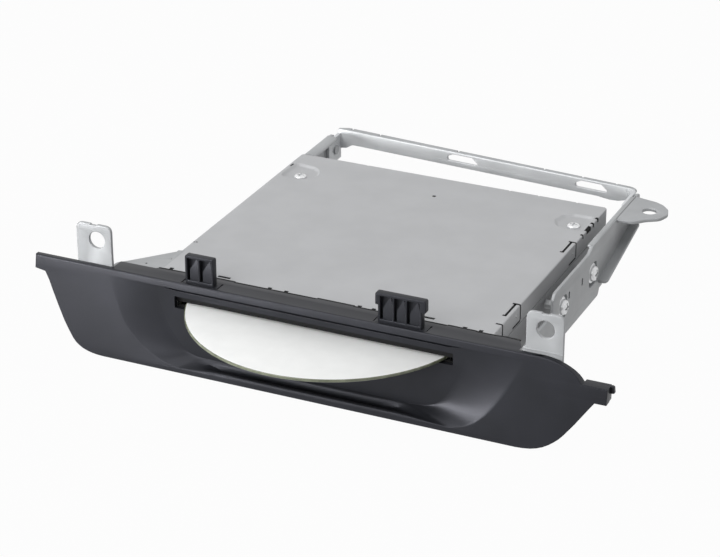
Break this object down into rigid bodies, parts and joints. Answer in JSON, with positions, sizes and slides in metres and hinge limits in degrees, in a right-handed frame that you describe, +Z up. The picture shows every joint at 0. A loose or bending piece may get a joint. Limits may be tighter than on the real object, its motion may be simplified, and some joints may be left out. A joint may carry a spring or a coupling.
{
  "type": "slot-in car disc changer unit",
  "caption": "Slot-loading car disc changer with a dark front panel, steel housing, side brackets with ears and a rear cross bar",
  "frame": {"origin": "bottom centre of the whole object's bounding box", "axes": "X to the right seen from the front, Y towards the back, Z up"},
  "size_m": [0.252, 0.2216, 0.0554],
  "materials": {
    "panel_plastic": "satin charcoal moulding with a fine grain",
    "felt": "short black felt",
    "disc_white": "white printed disc",
    "housing_steel": "zinc-plated sheet steel, matte",
    "bracket_steel": "zinc-plated sheet steel, matte",
    "bright_steel": "bright zinc plating",
    "rubber": "matte black rubber",
    "white_plastic": "natural acetal",
    "black_plastic": "black moulding",
    "brass": "plain turned brass",
    "board": "green solder mask",
    "lens": "coated lens"
  },
  "bodies": {
    "housing": {"bar_rivets": "bright_steel", "bezel": "panel_plastic", "board_screws": "bright_steel", "bracket_studs": "bright_steel", "chassis_tray": "housing_steel", "clamp_hinge_pin": "bright_steel", "clamp_spring": "bright_steel", "control_board": "board", "cover_screws": "bright_steel", "deck_hinge_pin": "bright_steel", "deck_stands": "bracket_steel", "disc_guide": "white_plastic", "harness_connector": "white_plastic", "left_bracket": "bracket_steel", "lift_belt": "rubber", "lift_motor": "bright_steel", "load_motor": "bright_steel", "rear_cross_bar": "bracket_steel", "right_bracket": "bracket_steel", "roller_brackets": "bracket_steel", "roller_bushes": "white_plastic", "rubber_dampers": "rubber", "slot_felts": "felt", "top_cover": "housing_steel"},
    "disc_body": {"disc": "disc_white"},
    "roller_body": {"roller_shaft": "bright_steel", "loading_roller": "rubber", "roller_gear": "white_plastic"},
    "idler_body": {"idler_gear": "white_plastic"},
    "load_pinion_body": {"load_pinion": "brass"},
    "tray_stack": {"tray_1": "white_plastic", "tray_2": "white_plastic", "tray_3": "white_plastic", "tray_4": "white_plastic"},
    "screw_fl": {"lift_screw_front_left": "bright_steel"},
    "screw_fr": {"lift_screw_front_right": "bright_steel"},
    "screw_rl": {"lift_screw_rear_left": "bright_steel"},
    "screw_rr": {"lift_screw_rear_right": "bright_steel"},
    "lift_pulley_body": {"lift_pulley": "brass"},
    "deck_body": {"drive_deck": "bracket_steel", "spindle_motor": "bright_steel", "guide_rods": "bright_steel", "feed_motor": "bright_steel"},
    "turntable_body": {"turntable": "black_plastic"},
    "sled_body": {"pickup_sled": "black_plastic", "objective_lens": "lens"},
    "lead_screw_body": {"lead_screw": "brass"},
    "feed_pinion_body": {"feed_pinion": "brass"},
    "clamp_body": {"clamp_arm": "bracket_steel"},
    "clamper_body": {"clamper": "black_plastic"}
  },
  "joints": [
    {"name": "disc_slide", "type": "slide", "parent": "housing", "child": "disc_body", "axis": [0, 1, 0], "range_m": [0, 0.052]},
    {"name": "roller_spin", "type": "hinge", "parent": "housing", "child": "roller_body", "pos_m": [0, -0.06527, 0.0229], "axis": [1, 0, 0], "range_deg": [-860, 5]},
    {"name": "idler_spin", "type": "hinge", "parent": "housing", "child": "idler_body", "pos_m": [0.068, -0.05933, 0.01921], "axis": [1, 0, 0], "range_deg": [-5, 780]},
    {"name": "load_pinion_spin", "type": "hinge", "parent": "housing", "child": "load_pinion_body", "pos_m": [0.068, -0.05468, 0.0163], "axis": [1, 0, 0], "range_deg": [-1630, 5]},
    {"name": "tray_lift", "type": "slide", "parent": "housing", "child": "tray_stack", "axis": [0, 0, 1], "range_m": [0, 0.0081]},
    {"name": "screw_fl_spin", "type": "hinge", "parent": "housing", "child": "screw_fl", "pos_m": [-0.066, -0.04807, 0.016], "axis": [0, 0, 1], "range_deg": [-5, 735]},
    {"name": "screw_fr_spin", "type": "hinge", "parent": "housing", "child": "screw_fr", "pos_m": [0.066, -0.04807, 0.016], "axis": [0, 0, 1], "range_deg": [-5, 735]},
    {"name": "screw_rl_spin", "type": "hinge", "parent": "housing", "child": "screw_rl", "pos_m": [-0.066, 0.03592, 0.016], "axis": [0, 0, 1], "range_deg": [-5, 735]},
    {"name": "screw_rr_spin", "type": "hinge", "parent": "housing", "child": "screw_rr", "pos_m": [0.066, 0.03592, 0.016], "axis": [0, 0, 1], "range_deg": [-5, 735]},
    {"name": "lift_pulley_spin", "type": "hinge", "parent": "housing", "child": "lift_pulley_body", "pos_m": [-0.0672, -0.00607, 0.003], "axis": [0, 0, 1], "range_deg": [-5, 1030]},
    {"name": "deck_tilt", "type": "hinge", "parent": "housing", "child": "deck_body", "pos_m": [0, 0.04893, 0.0082], "axis": [1, 0, 0], "range_deg": [0, 1.5]},
    {"name": "turntable_spin", "type": "hinge", "parent": "deck_body", "child": "turntable_body", "pos_m": [0, 0.00123, 0.01], "axis": [0, 0, 1], "continuous": true},
    {"name": "sled_slide", "type": "slide", "parent": "deck_body", "child": "sled_body", "axis": [0, -1, 0], "range_m": [0, 0.032]},
    {"name": "lead_screw_spin", "type": "hinge", "parent": "deck_body", "child": "lead_screw_body", "pos_m": [0.033, -0.03207, 0.01], "axis": [0, 1, 0], "range_deg": [-5, 3845]},
    {"name": "feed_pinion_spin", "type": "hinge", "parent": "deck_body", "child": "feed_pinion_body", "pos_m": [0.0385, -0.00808, 0.0131], "axis": [0, 1, 0], "range_deg": [-7685, 5]},
    {"name": "clamp_lift", "type": "hinge", "parent": "housing", "child": "clamp_body", "pos_m": [0, 0.04893, 0.0138], "axis": [-1, 0, 0], "range_deg": [0, 1.5]},
    {"name": "clamper_spin", "type": "hinge", "parent": "clamp_body", "child": "clamper_body", "pos_m": [0, 0.00123, 0.014], "axis": [0, 0, 1], "continuous": true}
  ],
  "couplings": [
    {"joint": "roller_spin", "follows": "disc_slide", "rad_per_m": -285.71},
    {"joint": "idler_spin", "follows": "disc_slide", "rad_per_m": 214.29},
    {"joint": "load_pinion_spin", "follows": "disc_slide", "rad_per_m": -489.8},
    {"joint": "screw_fl_spin", "follows": "tray_lift", "rad_per_m": 1570.8},
    {"joint": "screw_fr_spin", "follows": "tray_lift", "rad_per_m": 1570.8},
    {"joint": "screw_rl_spin", "follows": "tray_lift", "rad_per_m": 1570.8},
    {"joint": "screw_rr_spin", "follows": "tray_lift", "rad_per_m": 1570.8},
    {"joint": "lift_pulley_spin", "follows": "tray_lift", "rad_per_m": 2199.1},
    {"joint": "lead_screw_spin", "follows": "sled_slide", "rad_per_m": 2094.4},
    {"joint": "feed_pinion_spin", "follows": "sled_slide", "rad_per_m": -4188.8},
    {"joint": "clamper_spin", "follows": "turntable_spin", "ratio": 1}
  ]
}
